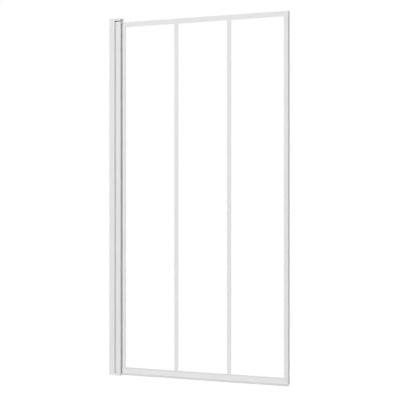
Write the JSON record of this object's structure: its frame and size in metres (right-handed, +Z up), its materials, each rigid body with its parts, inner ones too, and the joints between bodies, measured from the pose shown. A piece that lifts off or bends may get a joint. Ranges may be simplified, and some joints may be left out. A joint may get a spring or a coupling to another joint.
{
  "type": "bath screen",
  "caption": "Framed pivot bath screen: a wall channel and hinge post carry a swinging white-framed leaf of clear panes with slim glazing bars and a drip seal.",
  "frame": {"origin": "on the wall face, in the middle of the wall side's depth, at the level of the bath rim on which the lower cap stands", "axes": "+X from the wall to the free edge of the leaf, +Y from the room side to the bath side, +Z up"},
  "size_m": [0.75, 0.0358, 1.4],
  "materials": {
    "white_frame": "satin white powder coat on aluminium",
    "white_bracket": "satin powder coat on steel",
    "white_plastic": "moulded, satin",
    "steel": "stainless",
    "nylon": "moulded nylon",
    "glass": "clear toughened glass",
    "gasket": "soft pale grey",
    "soft_seal": "soft pale grey",
    "drip_seal": "soft translucent white"
  },
  "bodies": {
    "wall_side": {"wall_channel": "white_frame", "pivot_post": "white_frame", "post_screws": "steel", "post_screw_caps": "white_plastic", "top_cap": "white_plastic", "bottom_cap": "white_plastic", "top_pivot_bracket": "white_bracket", "bottom_pivot_bracket": "white_bracket", "top_pivot_pin": "steel", "bottom_pivot_pin": "steel", "top_pivot_washer": "nylon", "bottom_pivot_washer": "nylon", "bracket_screws": "steel", "post_seal": "soft_seal"},
    "leaf": {"hinge_stile": "white_frame", "closing_stile": "white_frame", "top_rail": "white_frame", "bottom_rail": "white_frame", "glazing_bar_1": "white_frame", "glazing_bar_2": "white_frame", "pane_1": "glass", "pane_2": "glass", "pane_3": "glass", "upright_gaskets": "gasket", "top_gaskets": "gasket", "bottom_gaskets": "gasket", "top_pivot_block": "nylon", "bottom_pivot_block": "nylon", "top_corner_key": "nylon", "bottom_corner_key": "nylon", "corner_screws": "steel", "bar_dowels": "steel", "top_end_plate": "white_plastic", "bottom_end_plate": "white_plastic", "drip_seal": "drip_seal"}
  },
  "joints": [
    {"name": "leaf_swing", "type": "hinge", "parent": "wall_side", "child": "leaf", "pos_m": [0.0585, 0, 0], "axis": [0, 0, 1], "range_deg": [-90, 90]}
  ]
}
